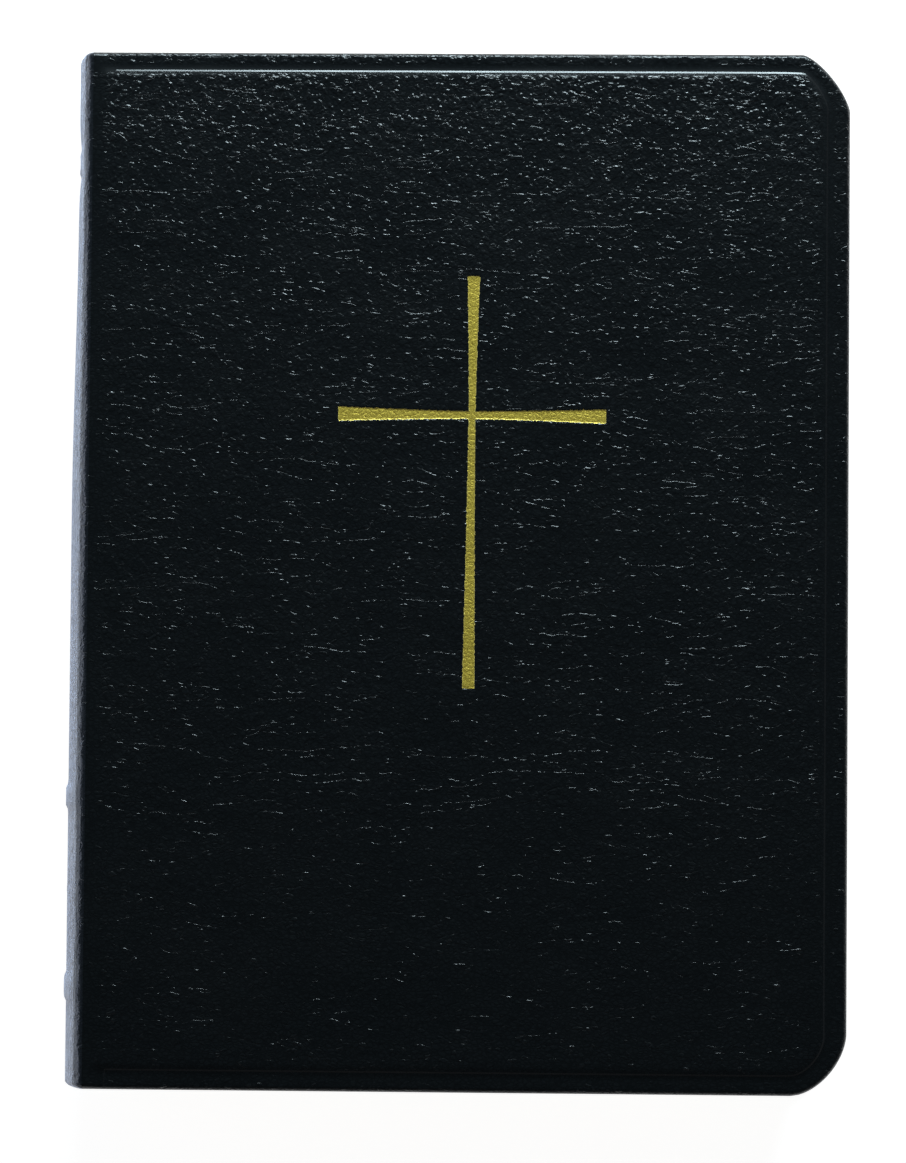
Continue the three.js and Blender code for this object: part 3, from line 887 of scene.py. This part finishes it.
def front_cross():
    """Foil on the floor and walls of the stamped cross. Its "grain" is 1 up on the walls, where the
    foil is painted a paler gold as a painted highlight.
    """
    walls = []
    faces = []
    verts = []
    start = 0
    wide = CROSS_BAR[1] / 2 + 0.5
    spare, fine, coarse = 0.2, 0.08, 0.16
    upright = (
        samples(CROSS_X - wide, CROSS_X + wide, fine),
        samples(cross_low[1] - spare, cross_high[1] + spare, coarse),
    )
    bar = (
        samples(cross_low[0] - spare, cross_high[0] + spare, coarse),
        samples(CROSS_Y - wide, CROSS_Y + wide, fine),
    )
    for k, (xs, ys) in enumerate((upright, bar)):
        x, y = np.meshgrid(xs, ys)
        mask = cross_mask(x, y)
        shown = mask > 0.01
        if k == 1:
            shown &= np.abs(x - CROSS_X) > CROSS_UPRIGHT[0] / 2 - spare
        plain = cover_depth(x, y, True) - CROSS_DEPTH * cross_mask(x, y, CROSS_GROW)
        z = TOP - plain + FOIL_LIFT - (CROSS_DEPTH - 0.04) * mask + 0.004 * k
        walls.append(1 - mask.ravel())
        cells = np.array(grid_faces(*x.shape))
        kept = cells[shown.ravel()[cells].all(axis=1)]
        faces += (kept + start).tolist()
        verts.append(np.stack([x, y, z], axis=-1).reshape(-1, 3))
        start += x.size
    # the walls' share, stored as "grain", sets where the foil gets its painted highlight
    wall = np.stack([np.concatenate(walls)] * 2)
    verts, faces, wall = part_of(np.concatenate(verts), faces, [True] * len(faces), wall)
    foil = make("cross_gold", verts, faces, [FOIL], "foil", grain=wall)
    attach(foil, "front_cover")
    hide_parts("cross_foil")


# ---------------------------------------------------------------- text block

def leaf_block(low_x, high_x, low_z, high_z, rim=(0.0, 0.0)):
    """A closed stack of leaves with rounded fore-edge corners.

    Returns its vertices, its faces, and 0 for each flat face or 1 for each face of its edge. The
    rim is how far the outline of the lower and the upper leaf curls past the stack.
    """
    corner = LEAF_CORNER
    xs = np.append(np.linspace(low_x, GUTTER_X, 14), np.linspace(GUTTER_X, high_x, 20)[1:])
    arc = [math.sin(math.radians(a)) * corner for a in range(0, 91, 9)]
    straight = list(np.linspace(corner - LEAF_Y, LEAF_Y - corner, 22))[1:-1]
    tail = [corner - LEAF_Y - a for a in arc[::-1]]
    ys = np.array(tail + straight + [LEAF_Y - corner + a for a in arc])
    t = np.clip((np.abs(ys) - LEAF_Y + corner) / corner, 0, 1)
    right = high_x - corner + corner * np.sqrt(np.maximum(1 - t * t, 0))
    x, y = fitted_grid(xs, ys, high_x - 2 * corner, high_x, right)
    levels = []
    for z, curl in ((low_z, -rim[0]), (high_z, rim[1])):
        level = np.full_like(x, z)
        level[[0, -1], 2:] += curl
        level[:, -1] = z + curl
        levels.append(level)
    flat, sides = sheet_faces(*x.shape)
    return layers(x, y, levels), flat + sides, [0] * len(flat) + [1] * len(sides)


def signatures():
    """The gatherings. The two beside the middle curl at their rims, so that they meet at rest."""
    half = len(SIGNATURES) // 2
    for k, node in enumerate(SIGNATURES):
        low, high = box_mm(node)
        lower = low[2] - MIDDLE_Z if k == half else 0.0
        upper = MIDDLE_Z - high[2] if k == half - 1 else 0.0
        verts, faces, kinds = leaf_block(BACKS_X, high[0], low[2], high[2], (lower, upper))
        piece = make(f"{node}_leaves", verts, faces, [PAGE, GILT], "pages", kinds, False)
        bend_at_gutter(piece)
        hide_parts(node)


def signature_backs():
    """The folded backs of the signatures, glued side by side, which stay with the spine."""
    verts = []
    faces = []
    kinds = []
    for node in SIGNATURES:
        low, high = box_mm(node)
        middle = (low[2] + high[2]) / 2
        half = (high[2] - low[2]) / 2
        angles = np.linspace(math.pi / 2, 3 * math.pi / 2, 7)
        xs = np.concatenate([[BACKS_X], low[0] + half + half * np.cos(angles), [BACKS_X]])
        zs = np.concatenate([[middle + half], middle + half * np.sin(angles), [middle - half]])
        count = len(xs)
        start = len(verts) * count
        for y in (-LEAF_Y, LEAF_Y):
            verts.append(np.stack([xs, np.full(count, y), zs], axis=-1))
        first = np.arange(start, start + count)
        second = first + count
        after = np.roll(np.arange(count), -1)
        faces += np.stack([first, first[after], second[after], second], axis=1).tolist()
        kinds += [0] * count
        faces += [first[::-1].tolist(), second.tolist()]
        kinds += [1, 1]
    verts = np.concatenate(verts)
    backs = make("signature_backs", verts, faces, [BACKS, GILT], "pages", kinds, False)
    on_spine(backs, None)


def boards():
    """The stiff card inside each cover, cut to the shape of its leather."""
    for side in ("front", "back"):
        low, high = box_mm(f"{side}_board")
        rows = np.unique(np.concatenate([-ROWS[::-4], ROWS[::4]]) * high[1] / ROWS[-1])
        left, right = np.full_like(rows, low[0]), outline_x(rows, LEATHER)
        verts = []
        for z in (low[2], high[2]):
            for x in (left, right):
                verts.append(np.stack([x, rows, np.full_like(rows, z)], axis=-1))
        count = len(rows)
        faces = []
        for a, b in ((0, 1), (1, 3), (3, 2), (2, 0)):
            for k in range(count - 1):
                corner_a, corner_b = a * count + k, b * count + k
                faces.append([corner_a + 1, corner_b + 1, corner_b, corner_a])
        faces.append([0, count, 3 * count, 2 * count])
        last = count - 1
        faces.append([2 * count + last, 3 * count + last, count + last, last])
        verts = np.concatenate(verts)
        board = make(f"{side}_board_card", verts, faces, [CARD], "board", smooth_shade=False)
        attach(board, f"{side}_cover")
        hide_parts(f"{side}_board")


def endpapers():
    """The leaf that lifts, the fold that joins it to the cover, and the CAD sheets' looks."""
    for node in ("front_pastedown", "back_pastedown", "back_flyleaf"):
        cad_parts[node].data.materials.clear()
        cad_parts[node].data.materials.append(ENDPAPER)

    low, high = box_mm("front_flyleaf")
    verts, faces, _ = leaf_block(low[0], high[0], low[2], high[2])
    leaf = make("front_free_endpaper", verts, faces, [FLYLEAF], "endpaper", smooth_shade=False)
    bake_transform(leaf)
    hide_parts("front_flyleaf")

    paste_low, paste_high = box_mm("front_pastedown")
    xs = np.linspace(JOINT_X, paste_low[0], 12)
    ys = np.linspace(paste_low[1], paste_high[1], 30)
    x, y = np.meshgrid(xs, ys)
    verts = layers(x, y, (paste_low[2], paste_high[2]))
    faces = [f[::-1] for f in grid_faces(*x.shape)] + grid_faces(*x.shape, x.size)
    hinge = make("front_endpaper_hinge", verts, faces, [FLYLEAF], "endpaper")
    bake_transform(hinge)


def headbands():
    """A silk bead wound over a core, standing on the edge of the leaves at the back."""
    gap, bow = 0.08, 1.15
    turns = 200
    around = 16
    for node, sign in (("head_band", 1), ("tail_band", -1)):
        low, high = box_mm(node)
        centre_y = sign * (LEAF_Y + BEAD_RADIUS + gap)
        tape = float(low[0]) + gap
        reach = (high[2] - low[2]) / 2 - BEAD_RADIUS - 0.05
        sweep = np.linspace(-1, 1, turns) * BEAD_SWEEP
        z = MIDDLE_Z + reach * np.sin(sweep) / math.sin(BEAD_SWEEP)
        x = tape + BEAD_RADIUS + bow * (1 - np.cos(sweep))
        tangent = np.stack([np.gradient(x), np.gradient(z)], axis=-1)
        tangent /= np.linalg.norm(tangent, axis=1)[:, None]
        wound = BEAD_RADIUS * (0.93 + 0.07 * np.abs(np.cos(z * math.pi / WINDING)))
        a = np.linspace(0, 2 * math.pi, around, endpoint=False)
        normal = np.stack([tangent[:, 1], -tangent[:, 0]], axis=-1)
        px = x[:, None] + wound[:, None] * np.cos(a) * normal[:, :1]
        pz = z[:, None] + wound[:, None] * np.cos(a) * normal[:, 1:]
        py = centre_y + wound[:, None] * np.sin(a) * sign
        verts = np.stack([px, py, pz], axis=-1).reshape(-1, 3)
        faces = []
        for k in range(turns - 1):
            here, there = k * around, (k + 1) * around
            for j in range(around):
                n = (j + 1) % around
                faces.append([here + j, here + n, there + n, there + j])
        faces.append(list(range(around))[::-1])
        faces.append([(turns - 1) * around + j for j in range(around)])
        if sign > 0:
            faces = [f[::-1] for f in faces]
        bead = make(f"{node}_bead", verts, faces, [SILK], "headband")
        on_spine(bead, node)


def opened_reach(x):
    """How far from the folded backs each X lies, along the page, when the book is open."""
    t = np.clip((GUTTER_X - x) / (GUTTER_X - BACKS_END), 0, 1)
    rate = -np.gradient(math.pi / 2 * smooth(t), x)
    stretch = np.hypot(1 + rate * MIDDLE_Z, rate * (x - JOINT_X))
    return np.concatenate([[0], np.cumsum((stretch[1:] + stretch[:-1]) / 2 * np.diff(x))])


def ribbons():
    """Ribbon markers laid between the leaves, from the head of the back to a slant-cut end.

    They are drawn on the opened page and folded back into the gutter, so their width stays even.
    """
    across_page = np.linspace(BACKS_END, FORE_X, 700)
    reach = opened_reach(across_page)
    for node, material, slot, phase, layer in (
        ("ribbon_marker_1", RED_SATIN, "ribbon_red", 0.0, MIDDLE_Z - RIBBON_LAYER),
        ("ribbon_marker_2", GOLD_SATIN, "ribbon_gold", 1.9, MIDDLE_Z + RIBBON_LAYER),
    ):
        low, high = box_mm(node)
        t = np.linspace(0, 1, 180)
        y = high[1] + 1.5 - t * (high[1] - low[1] + 1.0)
        settle = smooth(t / 0.6)
        line = high[0] - RIBBON_WIDTH * 0.75 - (high[0] - low[0] - RIBBON_WIDTH) * (1 - t)
        line = np.interp(line, across_page, reach)
        start_x = RIBBON_WIDTH / 2 + 0.3
        x = start_x + (line - start_x) * settle
        x = x + 0.5 * np.sin(t * 7 + phase) * settle
        dx, dy = np.gradient(x), np.gradient(y)
        length = np.hypot(dx, dy)
        across = np.linspace(-0.5, 0.5, 7)
        px = x[:, None] - (dy / length)[:, None] * across * RIBBON_WIDTH
        py = y[:, None] + (dx / length)[:, None] * across * RIBBON_WIDTH
        py[-1] += across * RIBBON_WIDTH * 0.9
        px = np.interp(px, reach, across_page)
        curl = 0.02 * np.cos(across * 2 * math.pi)
        verts = layers(px, py, [layer + side * RIBBON_THICK + curl for side in (-0.5, 0.5)])
        flat, sides = sheet_faces(*px.shape)
        ribbon = make(f"{node}_satin", verts, flat + sides, [material], slot)
        bend_at_gutter(ribbon)
        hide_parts(node)


covers()
spine_skin()
spine_inside()
spine_ornament()
front_cross()
signatures()
signature_backs()
boards()
endpapers()
headbands()
ribbons()


# ---------------------------------------------------------------- floor, light and camera

def floor():
    """A pale floor that glows a little, as a lit white sweep does."""
    reach, below = 6.0, -0.0002  # metres
    n = Nodes("pale_floor", Roughness=0.9, Specular_IOR_Level=0.0)
    grain = n.noise(n.node("ShaderNodeTexCoord").outputs["Object"], 3.0)[0]
    n.colour(n.mix(grain, rgb(0.48, 0.48, 0.48), rgb(0.5, 0.5, 0.5)))
    n.shader.inputs["Emission Color"].default_value = rgb(1.0, 1.0, 1.0)
    n.shader.inputs["Emission Strength"].default_value = 0.93
    mesh = bpy.data.meshes.new("floor")
    corners = ((-1, -1), (1, -1), (1, 1), (-1, 1))
    mesh.from_pydata([(x * reach, y * reach, below) for x, y in corners], [], [[0, 1, 2, 3]])
    mesh.materials.append(n.material)
    made = bpy.data.objects.new("floor", mesh)
    bpy.context.scene.collection.objects.link(made)


def sky():
    """Dark overhead and paler near the horizon, but plain pale where the camera itself sees it."""
    horizon, overhead, dark_from = 0.4, 0.02, 0.75
    world = bpy.data.worlds.new("studio")
    bpy.context.scene.world = world
    world.use_nodes = True
    tree = world.node_tree
    tree.nodes.clear()
    new, link = tree.nodes.new, tree.links.new
    out = new("ShaderNodeOutputWorld")
    mix = new("ShaderNodeMixShader")
    path = new("ShaderNodeLightPath")
    dim = new("ShaderNodeBackground")
    pale = new("ShaderNodeBackground")
    place = new("ShaderNodeTexCoord")
    parts = new("ShaderNodeSeparateXYZ")
    height = new("ShaderNodeMapRange")
    for socket, value in (
        ("From Min", 0.0), ("From Max", dark_from), ("To Min", horizon), ("To Max", overhead)
    ):
        height.inputs[socket].default_value = value
    dim.inputs["Color"].default_value = rgb(0.9, 0.94, 1.0)
    pale.inputs["Color"].default_value = rgb(0.94, 0.945, 0.95)
    link(place.outputs["Generated"], parts.inputs[0])
    link(parts.outputs[2], height.inputs["Value"])
    link(height.outputs[0], dim.inputs["Strength"])
    link(path.outputs["Is Camera Ray"], mix.inputs[0])
    link(dim.outputs[0], mix.inputs[1])
    link(pale.outputs[0], mix.inputs[2])
    link(mix.outputs[0], out.inputs["Surface"])


def area_light(name, place, size, watts, tint):
    """A rectangular light that faces the book; place and size are in metres."""
    data = bpy.data.lights.new(name, "AREA")
    data.shape = "RECTANGLE"
    data.size, data.size_y = size
    data.energy = watts
    data.color = tint
    light = bpy.data.objects.new(name, data)
    bpy.context.scene.collection.objects.link(light)
    light.location = place
    light.rotation_mode = "QUATERNION"
    light.rotation_quaternion = (-Vector(place)).to_track_quat("-Z", "Y")


def lights():
    area_light("head_light", (0.06, 0.46, 0.26), (0.3, 0.08), 2.7, (0.76, 0.93, 1.0))
    area_light("left_light", (-0.5, 0.02, 0.08), (0.5, 0.12), 0.35, (0.68, 0.76, 1.0))


def camera():
    """Straight above the front cover, the head of the book at the top of the picture."""
    data = bpy.data.cameras.new("camera")
    data.lens = 135
    data.sensor_width = 36
    picture_height = 167.4 * MM
    distance = picture_height * data.lens / data.sensor_width
    made = bpy.data.objects.new("camera", data)
    bpy.context.scene.collection.objects.link(made)
    aim = Vector(point(-0.05, -1.65, TOP))
    lean, tilt, roll = math.radians(1.5), math.radians(2.6), math.radians(0.4)
    away = Vector((math.sin(lean), -math.sin(tilt), 1.0)).normalized()
    right = Vector((math.cos(roll), math.sin(roll), 0.0))
    right = (right - away * right.dot(away)).normalized()
    turn = Matrix((right, away.cross(right), away)).transposed().to_quaternion()
    made.matrix_world = Matrix.LocRotScale(aim + away * distance, turn, None)
    data.clip_start = 0.01
    data.clip_end = 50
    bpy.context.scene.camera = made


floor()
sky()
lights()
camera()
bpy.context.scene.view_settings.view_transform = "Standard"
